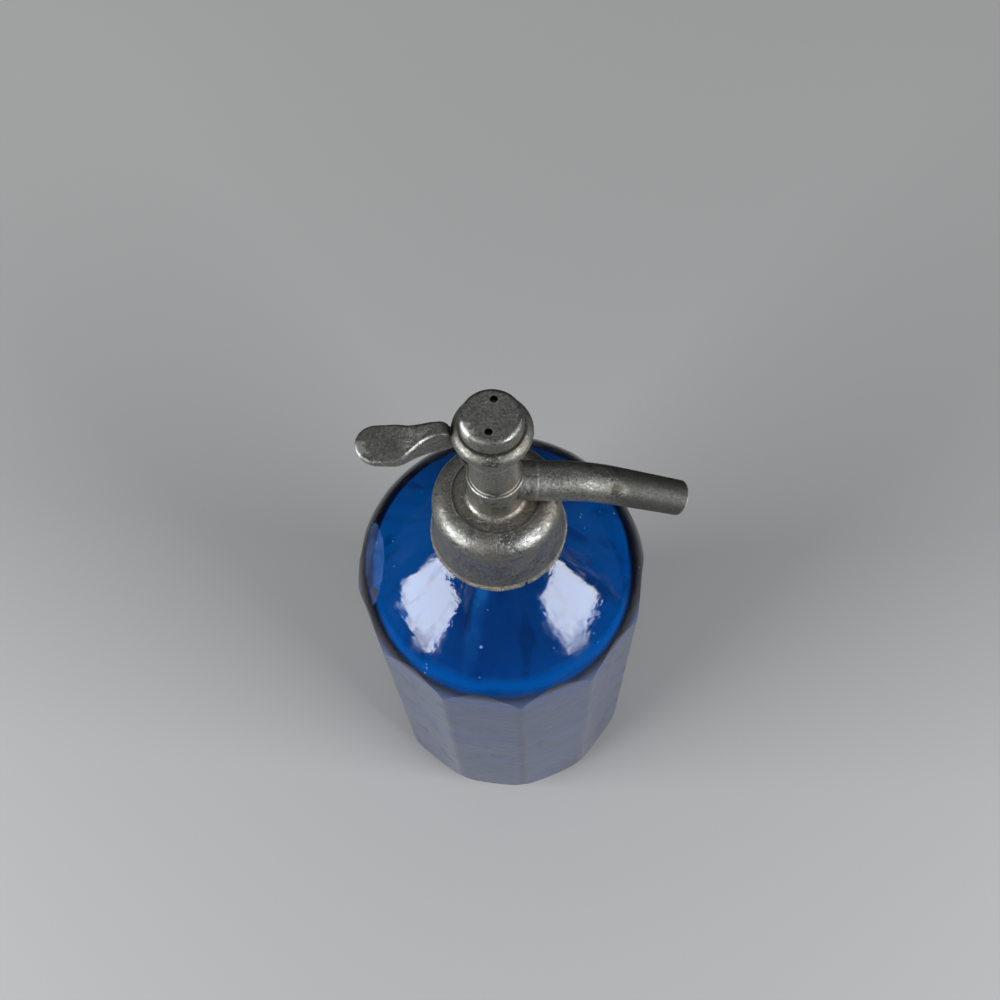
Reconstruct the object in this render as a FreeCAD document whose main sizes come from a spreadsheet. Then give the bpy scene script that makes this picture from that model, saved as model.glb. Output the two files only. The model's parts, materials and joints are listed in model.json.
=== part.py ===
import FreeCAD, Part
import math
import os
import re

import Sketcher
from FreeCAD import Placement, Rotation, Vector

# Soda siphon: a twelve-sided glass bottle with a pewter head, a fixed spout and a thumb lever.
# Millimetres. The origin is the centre of the bottle's foot, +Z is up, the spout points along +X
# and the lever along -X. Every piece is drawn in its own frame and set in place by its Placement.

SIZES = {
    # bottle
    "panel_count": 12,
    "panel_turn": 19.0,
    "foot_corner_r": 55.6,
    "rim_corner_r": 57.0,
    "corner_softening": 0.15,
    "panel_top_z": 156.0,
    "panel_roll_r": 17.0,
    "panel_roll_turn": 30.0,
    "shoulder_corner_z": 160.0,
    "shoulder_round_r": 31.6,
    "inner_shoulder_r": 25.0,
    "dome_bulge_r": 150.0,
    "dome_top_r": 21.0,
    "dome_top_z": 193.8,
    "heel_r": 14.0,
    "inner_heel_r": 10.0,
    "foot_ring_in_r": 36.0,
    "pushup_height": 4.0,
    "glass_wall": 4.6,
    "glass_floor": 9.0,
    "neck_r": 13.5,
    "neck_root_rise": 1.6,
    "neck_root_r": 3.0,
    "neck_bore_r": 10.0,
    "throat_r": 8.0,
    "bead_r": 15.6,
    "bead_bottom_z": 203.0,
    "bead_round_r": 1.5,
    "lip_z": 209.5,
    # seals and running gaps
    "lip_washer_thickness": 2.5,
    "seat_washer_thickness": 1.0,
    "cap_washer_thickness": 0.8,
    "thread_gap": 0.08,
    "running_gap": 0.05,
    "pin_gap": 0.02,
    # dip tube and its rubber sleeve
    "tube_r": 4.5,
    "tube_bore_r": 2.6,
    "tube_top_gap": 0.5,
    "tube_straight": 19.0,
    "tube_bend_r": 60.0,
    "tube_lean": 5.0,
    "tube_tip_cut": 5.0,
    "tube_floor_gap": 4.0,
    "bush_flange_thickness": 1.6,
    "bush_flange_r": 7.4,
    # split collar
    "collar_clearance": 0.3,
    "collar_foot_gap": 0.8,
    "collar_split": 0.5,
    "collar_top_drop": 2.0,
    # head casting
    "skirt_foot_z": 194.9,
    "skirt_foot_r": 24.3,
    "skirt_bore_r": 20.2,
    "skirt_hollow_r": 130.0,
    "roll_centre_r": 15.5,
    "roll_centre_z": 215.4,
    "roll_r": 7.3,
    "roll_low_turn": 25.0,
    "disc_step": 0.5,
    "disc_rise": 0.6,
    "column_r": 9.7,
    "column_foot_r": 2.2,
    "column_top_z": 238.2,
    "column_edge": 0.4,
    "throat_neck_r": 8.4,
    "bulb_foot_z": 256.7,
    "bulb_foot_r": 9.4,
    "bulb_cone_z": 259.6,
    "bulb_r": 13.1,
    "bulb_waist_r": 12.5,
    "bulb_waist_z": 265.8,
    "bulb_mid_z": 268.0,
    "bulb_top_r": 11.0,
    "bulb_top_z": 271.3,
    "bulb_low_round_r": 5.0,
    "bulb_high_round_r": 3.85,
    "nipple_r": 7.9,
    "nipple_top_z": 274.4,
    "chamber_r": 5.9,
    "chamber_floor_z": 250.0,
    # valve, guide and gland bores
    "seat_thread_r": 6.2,
    "valve_room_top_z": 236.5,
    "guide_length": 3.5,
    "gland_bore_r": 5.6,
    "packing_thickness": 3.2,
    "packing_washer_thickness": 0.8,
    "gland_nut_height": 4.5,
    "gland_slot_width": 1.6,
    "gland_slot_depth": 1.5,
    # valve seat bush
    "seat_flange_r": 9.3,
    "seat_flange_thickness": 2.6,
    "seat_flat_half": 8.2,
    "seat_sleeve_r": 7.6,
    "seat_sleeve_length": 12.0,
    "tube_socket_depth": 11.0,
    "tube_sleeve_wall": 1.4,
    "inlet_r": 3.0,
    "seat_lip_width": 1.0,
    "seat_lip_height": 0.8,
    "seat_top_z": 226.6,
    # valve disc, cup and spindle
    "disc_r": 4.5,
    "valve_rubber_thickness": 3.0,
    "rubber_proud": 0.9,
    "cup_r": 5.2,
    "cup_top_r": 3.9,
    "cup_height": 5.5,
    "cup_rim_height": 2.8,
    "rod_r": 3.0,
    "stub_r": 1.85,
    "crosshead_r": 4.6,
    "crosshead_foot_z": 256.5,
    "crosshead_top_z": 267.8,
    "spigot_r": 2.4,
    "spigot_height": 3.5,
    # spring
    "spring_mean_r": 3.4,
    "spring_wire_r": 0.4,
    "spring_coils": 4.5,
    # cap
    "cap_r": 10.3,
    "cap_foot_gap": 0.3,
    "cap_top_z": 278.1,
    "cap_turn": -11.0,
    "cap_rim_r": 2.0,
    "cap_foot_round": 0.6,
    "spanner_hole_r": 1.3,
    "spanner_hole_spacing": 11.5,
    "spanner_hole_depth": 2.0,
    # lever: its own frame has its origin under the paddle's tip
    "lever_tip_x": -43.5,
    "lever_base_z": 255.0,
    "pin_x": -9.6,
    "pin_z": 264.0,
    "pin_r": 1.2,
    "nose_x": 0.3,
    "nose_r": 2.6,
    "nose_dip": 1.27,
    "tongue_width": 3.8,
    "tongue_gap": 0.25,
    "tongue_neck_x": -4.6,
    "slot_floor_z": 259.4,
    "slot_top_z": 269.4,
    "mortise_clearance": 0.4,
    "web_end_x": -13.1,
    "web_top_z": 272.2,
    "web_slope": 38.0,
    "crest_slope": 12.0,
    "crest_r": 12.0,
    "web_underside_z": 260.8,
    "web_root_z": 262.2,
    "web_half_width": 2.6,
    "web_end_run": 2.6,
    "web_end_r": 6.0,
    "paddle_half_width": 6.9,
    "paddle_shoulder_x": -31.5,
    "paddle_flare_r": 9.0,
    "paddle_flare_turn": 28.0,
    "web_flare_r": 32.0,
    "paddle_tip_z": 265.2,
    "paddle_tip_thickness": 2.2,
    "paddle_dish_r": 47.0,
    "underside_r": 70.0,
    "hollow_x": -31.0,
    "hollow_z": 264.1,
    "lever_edge_r": 1.1,
    # spout: its own frame has its origin on the head's axis and +Z along the root
    "spout_z": 232.6,
    "spout_dip": 9.5,
    "boss_length": 13.5,
    "spout_root_r": 6.95,
    "spout_tip_r": 6.3,
    "spout_run": 32.1,
    "spout_bend_r": 56.0,
    "spout_bend": 20.0,
    "spout_tip_run": 37.1,
    "spout_bore_r": 3.9,
    "outlet_r": 4.8,
    "outlet_depth": 18.0,
    # leather ring under the skirt
    "neck_ring_in_r": 22.3,
    "neck_ring_overhang": 0.9,
    "neck_ring_gap": 0.45,
    "neck_ring_round_r": 0.6,
}

doc = FreeCAD.newDocument("SodaSiphon")
sheet = doc.addObject("Spreadsheet::Sheet", "Sizes")
for row, (alias, number) in enumerate(SIZES.items(), start=1):
    sheet.set(f"A{row}", alias)
    sheet.set(f"B{row}", str(number))
    sheet.setAlias(f"B{row}", alias)
sums = doc.addObject("Spreadsheet::Sheet", "Sums")
doc.recompute()

# Heights that follow from the sizes, as expressions of the sheet's names.
CEILING_Z = "(lip_z + lip_washer_thickness)"
SEAT_SHOULDER_Z = f"({CEILING_Z} - seat_washer_thickness)"
GLAND_FLOOR_Z = "(valve_room_top_z + guide_length)"
CAP_FOOT_Z = "(bulb_top_z + cap_foot_gap)"
CAP_CEILING_Z = "(nipple_top_z + cap_washer_thickness)"
NOSE_Z = "(pin_z - nose_dip)"
MORTISE_ROOF_Z = f"({NOSE_Z} + nose_r + running_gap)"
MORTISE_FLOOR_Z = f"({NOSE_Z} - nose_r - mortise_clearance)"
RIM_APOTHEM = "(rim_corner_r * cos(180 / panel_count))"
FOOT_APOTHEM = "(foot_corner_r * cos(180 / panel_count))"
CUP_FOOT_Z = "(seat_top_z + rubber_proud)"
TUBE_TOP_Z = f"({SEAT_SHOULDER_Z} - seat_flange_thickness - seat_sleeve_length + tube_socket_depth - tube_top_gap)"
SLEEVE_FOOT_Z = f"({SEAT_SHOULDER_Z} - seat_flange_thickness - seat_sleeve_length)"
DOME_RIM_R = "(rim_corner_r - corner_softening)"
DOME_RUN = f"({DOME_RIM_R} - dome_top_r)"
DOME_RISE = "(dome_top_z - shoulder_corner_z)"
DOME_CHORD = f"sqrt({DOME_RUN} ^ 2 + {DOME_RISE} ^ 2)"
DOME_REACH = f"sqrt(dome_bulge_r ^ 2 - {DOME_CHORD} ^ 2 / 4)"
DOME_CENTRE_R = f"(({DOME_RIM_R} + dome_top_r) / 2 - {DOME_RISE} * {DOME_REACH} / {DOME_CHORD})"
DOME_CENTRE_Z = f"((shoulder_corner_z + dome_top_z) / 2 - {DOME_RUN} * {DOME_REACH} / {DOME_CHORD})"

LEFT = 1
RIGHT = -1
known = {}


def qualified(expression):
    """The expression with every size's name written as a reference to the sheet."""
    return re.sub(r"[a-z_]+", lambda word: f"Sizes.{word[0]}" if word[0] in SIZES else word[0], expression)


def measure(expression):
    """The number an expression of size names comes to."""
    if expression not in known:
        sums.set("A1", "=" + qualified(expression))
        sums.recompute()
        known[expression] = float(sums.get("A1"))
    return known[expression]


def dome_height(radius):
    """The height of the glass dome's outer arc at a radius."""
    return f"({DOME_CENTRE_Z} + sqrt(dome_bulge_r ^ 2 - ({radius} - {DOME_CENTRE_R}) ^ 2))"


def bind(thing, name, expression):
    thing.setExpression(name, qualified(expression))


def new_body(label, z="0", x="0"):
    """A body whose frame stands at (x, 0, z)."""
    body = doc.addObject("PartDesign::Body", label)
    body.Label = label
    bind(body, "Placement.Base.x", x)
    bind(body, "Placement.Base.z", z)
    return body


def new_sketch(body, name, role="XZ_Plane"):
    sketch = body.newObject("Sketcher::SketchObject", name)
    plane = [feature for feature in body.Origin.OriginFeatures if feature.Role == role][0]
    sketch.AttachmentSupport = [(plane, "")]
    sketch.MapMode = "FlatFace"
    return sketch


def place_vertex(sketch, edge, end, across, up):
    """Holds one end of an edge at the given coordinates."""
    for kind, axis, expression in (("DistanceX", -2, across), ("DistanceY", -1, up)):
        if expression == "0":
            sketch.addConstraint(Sketcher.Constraint("PointOnObject", edge, end, axis))
            continue
        rule = sketch.addConstraint(Sketcher.Constraint(kind, -1, 1, edge, end, measure(expression)))
        bind(sketch, f"Constraints[{rule}]", expression)


def bent_edge(start, stop, radius, side):
    """The shorter arc from start to stop that bends to the given side."""
    chord = stop - start
    half = chord.Length / 2
    left = Vector(-chord.y, chord.x, 0).normalize()
    reach = math.sqrt(max(radius * radius - half * half, 0))
    centre = start + chord * 0.5 + left * (side * reach)
    return Part.Arc(start, centre - left * (side * radius), stop)


def draw(sketch, corners, closed=True):
    """An outline through the corners. A corner is (across, up) or (across, up, side, radius):
    the side and the radius bend the edge that leaves it."""
    points = [Vector(measure(c[0]), measure(c[1]), 0) for c in corners]
    count = len(corners) if closed else len(corners) - 1
    ends = []
    for index in range(count):
        start, stop = points[index], points[(index + 1) % len(points)]
        if len(corners[index]) == 4:
            side, radius = corners[index][2:]
            edge = sketch.addGeometry(bent_edge(start, stop, measure(radius), side), False)
            rule = sketch.addConstraint(Sketcher.Constraint("Radius", edge, measure(radius)))
            bind(sketch, f"Constraints[{rule}]", radius)
        else:
            edge = sketch.addGeometry(Part.LineSegment(start, stop), False)
        first = 1 if (sketch.getPoint(edge, 1) - start).Length < (sketch.getPoint(edge, 2) - start).Length else 2
        ends.append((edge, first, 3 - first))
    for index in range(count if closed else count - 1):
        edge, _, last = ends[index]
        following, first, _ = ends[(index + 1) % count]
        sketch.addConstraint(Sketcher.Constraint("Coincident", edge, last, following, first))
    for (edge, first, _), corner in zip(ends, corners):
        place_vertex(sketch, edge, first, corner[0], corner[1])
    if not closed:
        edge, _, last = ends[-1]
        place_vertex(sketch, edge, last, corners[-1][0], corners[-1][1])


def draw_circle(sketch, radius, across="0", up="0"):
    centre = Vector(measure(across), measure(up), 0)
    circle = sketch.addGeometry(Part.Circle(centre, Vector(0, 0, 1), measure(radius)), False)
    place_vertex(sketch, circle, 3, across, up)
    rule = sketch.addConstraint(Sketcher.Constraint("Radius", circle, measure(radius)))
    bind(sketch, f"Constraints[{rule}]", radius)


def turn(body, name, corners):
    """Revolves an outline of (radius, height) corners about the body's Z axis."""
    sketch = new_sketch(body, name + "Outline")
    draw(sketch, corners)
    feature = body.newObject("PartDesign::Revolution", name)
    feature.Profile = sketch
    feature.ReferenceAxis = (sketch, ["V_Axis"])
    feature.Angle = 360
    return feature


def bore(body, name, corners):
    """Cuts the space that an outline of (radius, height) corners sweeps about the Z axis."""
    sketch = new_sketch(body, name + "Outline")
    draw(sketch, corners)
    feature = body.newObject("PartDesign::Groove", name)
    feature.Profile = sketch
    feature.ReferenceAxis = (sketch, ["V_Axis"])
    feature.Angle = 360
    return feature


def cut_through(body, sketch, name):
    """A pocket through the whole body, to both sides of its sketch."""
    feature = body.newObject("PartDesign::Pocket", name)
    feature.Profile = sketch
    feature.Type = "ThroughAll"
    feature.SideType = "Symmetric"
    return feature


def cut_deep(body, sketch, name, depth, reverse=False):
    feature = body.newObject("PartDesign::Pocket", name)
    feature.Profile = sketch
    feature.Type = "Length"
    feature.Reversed = reverse
    bind(feature, "Length", depth)
    return feature


def pattern(body, feature, name, count):
    """Repeats a feature round the body's Z axis."""
    ring = body.newObject("PartDesign::PolarPattern", name)
    axis = [part for part in body.Origin.OriginFeatures if part.Role == "Z_Axis"][0]
    ring.Originals = [feature]
    ring.Axis = (axis, [""])
    ring.Angle = 360
    bind(ring, "Occurrences", count)
    body.Tip = ring
    return ring


def round_edges(body, base, name, radius, chosen):
    """Fillets the edges of a feature that the test chooses."""
    doc.recompute()
    names = [f"Edge{n}" for n, edge in enumerate(base.Shape.Edges, start=1) if chosen(edge)]
    feature = body.newObject("PartDesign::Fillet", name)
    feature.Base = (base, names)
    bind(feature, "Radius", radius)
    return feature


def is_ring(edge, radius, height):
    """Whether an edge is a circle about Z of this radius at this height."""
    box = edge.BoundBox
    flat = box.ZLength < 0.01 and abs(box.ZMin - height) < 0.05
    return flat and hasattr(edge.Curve, "Radius") and abs(edge.Curve.Radius - radius) < 0.05


# --- glass -------------------------------------------------------------------------------------


def make_bottle():
    """A round blank with a domed shoulder and a beaded neck, cut to twelve panels."""
    body = new_body("bottle")
    body.Placement = Placement(Vector(0, 0, 0), Rotation(Vector(0, 0, 1), SIZES["panel_turn"]))
    bind(body, "Placement.Rotation.Angle", "panel_turn")
    foot_r = "(foot_corner_r - corner_softening)"
    rim_r = DOME_RIM_R
    dish_r = "((foot_ring_in_r ^ 2 + pushup_height ^ 2) / (2 * pushup_height))"
    blank = turn(body, "Blank", [
        ("0", "pushup_height", RIGHT, dish_r),
        ("foot_ring_in_r", "0"),
        (f"{foot_r} - heel_r", "0", LEFT, "heel_r"),
        (foot_r, "heel_r"),
        (rim_r, "shoulder_corner_z", LEFT, "dome_bulge_r"),
        ("dome_top_r", "dome_top_z"),
        ("neck_r + neck_root_r", "dome_top_z + neck_root_rise", RIGHT, "neck_root_r"),
        ("neck_r", "dome_top_z + neck_root_rise + neck_root_r"),
        ("neck_r", "bead_bottom_z"),
        ("bead_r", "bead_bottom_z + bead_r - neck_r"),
        ("bead_r", "lip_z - bead_round_r", LEFT, "bead_round_r"),
        ("bead_r - bead_round_r", "lip_z"),
        ("0", "lip_z"),
    ])
    corner_r, corner_z = measure(rim_r), measure("shoulder_corner_z")
    round_edges(body, blank, "ShoulderRound", "shoulder_round_r", lambda edge: is_ring(edge, corner_r, corner_z))
    # one panel's cut: everything outside its flat, its rolled top and the slope above that
    roll_x = f"({RIM_APOTHEM} - panel_roll_r * (1 - cos(panel_roll_turn)))"
    roll_z = "(panel_top_z + panel_roll_r * sin(panel_roll_turn))"
    slope_length = "1.5 * panel_roll_r"
    top_z = f"({roll_z} + {slope_length} * cos(panel_roll_turn))"
    outside = "1.5 * rim_corner_r"
    sketch = new_sketch(body, "PanelOutline")
    draw(sketch, [
        (FOOT_APOTHEM, "0"),
        (outside, "0"),
        (outside, top_z),
        (f"{roll_x} - {slope_length} * sin(panel_roll_turn)", top_z),
        (roll_x, roll_z, RIGHT, "panel_roll_r"),
        (RIM_APOTHEM, "panel_top_z"),
    ])
    panel = cut_through(body, sketch, "Panel")
    pattern(body, panel, "Panels", "panel_count")
    inner_rim_r = f"({RIM_APOTHEM} - glass_wall)"
    inner_foot_r = f"({FOOT_APOTHEM} - glass_wall)"
    inside = bore(body, "Inside", [
        ("0", "glass_floor + pushup_height", RIGHT, dish_r),
        ("foot_ring_in_r", "glass_floor"),
        (f"{inner_foot_r} - inner_heel_r", "glass_floor", LEFT, "inner_heel_r"),
        (inner_foot_r, "glass_floor + inner_heel_r"),
        (inner_rim_r, "shoulder_corner_z", LEFT, "dome_bulge_r - glass_wall"),
        ("neck_bore_r + throat_r", "dome_top_z - glass_wall", RIGHT, "throat_r"),
        ("neck_bore_r", "dome_top_z - glass_wall + throat_r"),
        ("neck_bore_r", "lip_z + glass_wall"),
        ("0", "lip_z + glass_wall"),
    ])
    inside_r = measure(inner_rim_r)
    round_edges(body, inside, "InnerShoulder", "inner_shoulder_r", lambda edge: is_ring(edge, inside_r, corner_z))
    return body


def make_dip_tube():
    """A glass tube, straight in its sleeve, then leaning to the lever's side; its foot is cut askew."""
    body = new_body("dip_tube", TUBE_TOP_Z)
    tangent = "tube_bend_r * tan(tube_lean / 2)"
    bend_z = f"(0 - tube_straight - {tangent})"
    run = f"(({TUBE_TOP_Z} - glass_floor - pushup_height - tube_floor_gap + {bend_z}) / cos(tube_lean))"
    path = new_sketch(body, "Route")
    draw(path, [
        ("0", "0"),
        ("0", "0 - tube_straight", RIGHT, "tube_bend_r"),
        (f"0 - {tangent} * sin(tube_lean)", f"{bend_z} - {tangent} * cos(tube_lean)"),
        (f"0 - {run} * sin(tube_lean)", f"{bend_z} - {run} * cos(tube_lean)"),
    ], closed=False)
    ring = new_sketch(body, "TubeSection", "XY_Plane")
    draw_circle(ring, "tube_r")
    draw_circle(ring, "tube_bore_r")
    tube = body.newObject("PartDesign::AdditivePipe", "Tube")
    tube.Profile = ring
    tube.Spine = (path, ["Edge1", "Edge2", "Edge3"])
    foot = new_sketch(body, "FootCut")
    foot_x, foot_z = f"(0 - {run} * sin(tube_lean))", f"({bend_z} - {run} * cos(tube_lean))"
    draw(foot, [
        (f"{foot_x} - 2 * tube_r", f"{foot_z} - tube_r"),
        (f"{foot_x} + 2 * tube_r", f"{foot_z} - tube_r"),
        (f"{foot_x} + 2 * tube_r", f"{foot_z} + tube_tip_cut"),
    ])
    cut_through(body, foot, "FootSlant")
    return body


# --- head casting and spout --------------------------------------------------------------------


def tilted_sketch(body, name, height, dip):
    """A sketch square to a line that leaves the Z axis at this height and dips below +X."""
    sketch = new_sketch(body, name, "YZ_Plane")
    sketch.AttachmentOffset = Placement(Vector(0, measure(height), 0), Rotation(Vector(1, 0, 0), measure(dip)))
    bind(sketch, "AttachmentOffset.Base.y", height)
    bind(sketch, "AttachmentOffset.Rotation.Angle", dip)
    return sketch


def make_head_body():
    """Skirt, roll, disc, column and bulb in one casting, with the boss for the spout."""
    body = new_body("head_body", "skirt_foot_z")

    def up(height):
        return f"({height}) - skirt_foot_z"

    low_x = "(roll_centre_r + roll_r * cos(roll_low_turn))"
    low_z = "(roll_centre_z - roll_r * sin(roll_low_turn))"
    roll_top_z = "(roll_centre_z + roll_r)"
    casting = turn(body, "Casting", [
        ("0", "0"),
        ("skirt_foot_r", "0", RIGHT, "skirt_hollow_r"),
        (low_x, up(low_z), LEFT, "roll_r"),
        ("roll_centre_r", up(roll_top_z)),
        ("roll_centre_r", up(f"{roll_top_z} - disc_step")),
        ("column_r", up(f"{roll_top_z} - disc_step + disc_rise")),
        ("column_r", up("column_top_z - column_edge")),
        ("column_r - column_edge", up("column_top_z")),
        ("throat_neck_r", up("column_top_z")),
        ("throat_neck_r", up("bulb_foot_z")),
        ("bulb_foot_r", up("bulb_foot_z")),
        ("bulb_foot_r", up("bulb_cone_z")),
        ("bulb_waist_r", up("bulb_waist_z"), LEFT, "bulb_low_round_r"),
        ("bulb_r", up("bulb_mid_z"), LEFT, "bulb_high_round_r"),
        ("bulb_top_r", up("bulb_top_z")),
        ("nipple_r", up("bulb_top_z")),
        ("nipple_r", up("nipple_top_z")),
        ("0", up("nipple_top_z")),
    ])
    foot_r, foot_z = measure("column_r"), measure(up(f"{roll_top_z} - disc_step + disc_rise"))
    rounded = round_edges(body, casting, "ColumnFoot", "column_foot_r", lambda edge: is_ring(edge, foot_r, foot_z))
    neck_r, step_z = measure("throat_neck_r"), measure(up("column_top_z"))
    round_edges(body, rounded, "NeckFoot", "column_edge * 2", lambda edge: is_ring(edge, neck_r, step_z))
    boss_sketch = tilted_sketch(body, "BossOutline", up("spout_z"), "spout_dip")
    draw_circle(boss_sketch, "spout_root_r")
    boss = body.newObject("PartDesign::Pad", "Boss")
    boss.Profile = boss_sketch
    bind(boss, "Length", "boss_length")
    bore(body, "Bores", [
        ("0", "0"),
        ("skirt_bore_r", "0"),
        ("skirt_bore_r", up(CEILING_Z)),
        ("seat_thread_r", up(CEILING_Z)),
        ("seat_thread_r", up("valve_room_top_z")),
        ("rod_r + running_gap", up("valve_room_top_z")),
        ("rod_r + running_gap", up(GLAND_FLOOR_Z)),
        ("gland_bore_r", up(GLAND_FLOOR_Z)),
        ("gland_bore_r", up("chamber_floor_z")),
        ("chamber_r", up("chamber_floor_z + chamber_r - gland_bore_r")),
        ("chamber_r", up("nipple_top_z")),
        ("0", up("nipple_top_z")),
    ])
    port_sketch = tilted_sketch(body, "PortOutline", up("spout_z"), "spout_dip")
    draw_circle(port_sketch, "spout_bore_r")
    cut_deep(body, port_sketch, "Port", "boss_length + 1", reverse=True)
    slot = new_sketch(body, "LeverSlot", "YZ_Plane")
    half = "(tongue_width / 2 + tongue_gap)"
    draw(slot, [
        (f"0 - {half}", up("slot_floor_z")),
        (half, up("slot_floor_z")),
        (half, up("slot_top_z")),
        (f"0 - {half}", up("slot_top_z")),
    ])
    cut_deep(body, slot, "Slot", "bulb_r + 1")
    pin_hole = new_sketch(body, "PinHole")
    draw_circle(pin_hole, "pin_r", "pin_x", up("pin_z"))
    cut_through(body, pin_hole, "PinBore")
    return body


def spout_route(body, name, start):
    """The spout's centre line: the root, one bend down and the run to the tip."""
    route = new_sketch(body, name)
    tangent = "(spout_bend_r * tan(spout_bend / 2))"
    draw(route, [
        ("0", start),
        ("0", f"spout_run - {tangent}", RIGHT, "spout_bend_r"),
        (f"{tangent} * sin(spout_bend)", f"spout_run + {tangent} * cos(spout_bend)"),
        ("spout_tip_run * sin(spout_bend)", "spout_run + spout_tip_run * cos(spout_bend)"),
    ], closed=False)
    return route


def section_sketch(body, name, radius, across, up_z, lean):
    """A circle square to the spout's centre line at a point of it."""
    sketch = new_sketch(body, name, "XY_Plane")
    turned = Rotation(Vector(0, 1, 0), measure(lean))
    sketch.AttachmentOffset = Placement(Vector(measure(across), 0, measure(up_z)), turned)
    bind(sketch, "AttachmentOffset.Base.x", across)
    bind(sketch, "AttachmentOffset.Base.z", up_z)
    if measure(lean):
        bind(sketch, "AttachmentOffset.Rotation.Angle", lean)
    draw_circle(sketch, radius)
    return sketch


def make_spout():
    """A tapered tube with one bend; its bore opens to a wider outlet at the square cut tip."""
    body = new_body("spout", "spout_z")
    # local +Z runs out along the root and local +X points down, towards the inside of the bend
    outward = Rotation(Vector(0, 1, 0), 90 + SIZES["spout_dip"])
    body.Placement = Placement(Vector(0, 0, measure("spout_z")), outward)
    bind(body, "Placement.Rotation.Angle", "90 + spout_dip")
    tip_x, tip_z = "(spout_tip_run * sin(spout_bend))", "(spout_run + spout_tip_run * cos(spout_bend))"
    root = section_sketch(body, "RootSection", "spout_root_r", "0", "boss_length", "0")
    tip = section_sketch(body, "TipSection", "spout_tip_r", tip_x, tip_z, "spout_bend")
    tube = body.newObject("PartDesign::AdditivePipe", "Tube")
    tube.Profile = root
    tube.Spine = (spout_route(body, "Route", "boss_length"), ["Edge1", "Edge2", "Edge3"])
    tube.Transformation = "Multisection"
    tube.Sections = [(tip, [""])]
    hole = section_sketch(body, "BoreSection", "spout_bore_r", "0", "boss_length", "0")
    passage = body.newObject("PartDesign::SubtractivePipe", "Passage")
    passage.Profile = hole
    passage.Spine = (spout_route(body, "BoreRoute", "boss_length"), ["Edge1", "Edge2", "Edge3"])
    outlet = section_sketch(body, "OutletSection", "outlet_r", tip_x, tip_z, "spout_bend")
    cut_deep(body, outlet, "Outlet", "outlet_depth")
    return body


# --- collar and seals --------------------------------------------------------------------------


def make_collar_half(label, quarter_turn):
    """One half of the threaded ring that grips the glass bead."""
    foot_z = "(dome_top_z + neck_root_rise + neck_root_r + collar_foot_gap)"
    body = new_body(label, foot_z)
    body.Placement = Placement(Vector(0, 0, measure(foot_z)), Rotation(Vector(0, 0, 1), quarter_turn))
    seat_r = "(bead_r + collar_clearance)"
    grip_r = "(neck_r + collar_clearance)"
    seat_z = f"(bead_bottom_z - {foot_z})"
    top_z = f"(lip_z - collar_top_drop - {foot_z})"
    outer_r = "(skirt_bore_r - thread_gap)"
    ring = turn(body, "Ring", [
        (grip_r, "0"),
        (outer_r, "0"),
        (outer_r, top_z),
        (seat_r, top_z),
        (seat_r, f"{seat_z} + {seat_r} - {grip_r} - thread_gap"),
        (grip_r, f"{seat_z} - thread_gap"),
    ])
    ring.Midplane = True
    bind(ring, "Angle", "180 - 360 * collar_split / (2 * pi * neck_r)")
    return body


def make_ring(label, foot_z, inner_r, outer_r, height):
    """A plain washer."""
    body = new_body(label, foot_z)
    turn(body, "Ring", [(inner_r, "0"), (outer_r, "0"), (outer_r, height), (inner_r, height)])
    return body


def make_neck_packing():
    """The leather ring between the skirt and the dome, sloped underneath as the glass is."""
    outer_r = "(skirt_foot_r + neck_ring_overhang)"
    edge_r = f"({outer_r} - neck_ring_round_r)"
    foot_z = f"({dome_height(edge_r)} + neck_ring_gap)"
    inner_z = f"({dome_height('neck_ring_in_r')} + neck_ring_gap)"
    top = f"(skirt_foot_z - {foot_z})"
    body = new_body("neck_packing", foot_z)
    turn(body, "Ring", [
        ("neck_ring_in_r", f"{inner_z} - {foot_z}"),
        (edge_r, "0", LEFT, "neck_ring_round_r"),
        (outer_r, "neck_ring_round_r"),
        (outer_r, f"{top} - neck_ring_round_r", LEFT, "neck_ring_round_r"),
        (edge_r, top),
        ("neck_ring_in_r", top),
    ])
    return body


# --- valve -------------------------------------------------------------------------------------


def make_valve_seat():
    """Bush with the seat's lip on top, a flange with two spanner flats and the tube's socket."""
    body = new_body("valve_seat", SLEEVE_FOOT_Z)
    flange_z = "(seat_sleeve_length)"
    shoulder_z = "(seat_sleeve_length + seat_flange_thickness)"
    lip_z = f"(seat_top_z - {SLEEVE_FOOT_Z})"
    thread_r = "(seat_thread_r - thread_gap)"
    turn(body, "Bush", [
        ("inlet_r", "tube_socket_depth"),
        ("tube_r + tube_sleeve_wall + thread_gap", "tube_socket_depth"),
        ("tube_r + tube_sleeve_wall + thread_gap", "0"),
        ("seat_sleeve_r", "0"),
        ("seat_sleeve_r", flange_z),
        ("seat_flange_r", flange_z),
        ("seat_flange_r", shoulder_z),
        (thread_r, shoulder_z),
        (thread_r, f"{lip_z} - 2 * seat_lip_height"),
        ("inlet_r + seat_lip_width", f"{lip_z} - seat_lip_height"),
        ("inlet_r + seat_lip_width", lip_z),
        ("inlet_r", lip_z),
    ])
    flats = new_sketch(body, "SpannerFlats", "YZ_Plane")
    reach = "2 * seat_flange_r"
    for side in ("", "0 - "):
        draw(flats, [
            (f"{side}seat_flat_half", flange_z),
            (f"{side}{reach}", flange_z),
            (f"{side}{reach}", shoulder_z),
            (f"{side}seat_flat_half", shoulder_z),
        ])
    cut_through(body, flats, "Flats")
    return body


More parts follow.
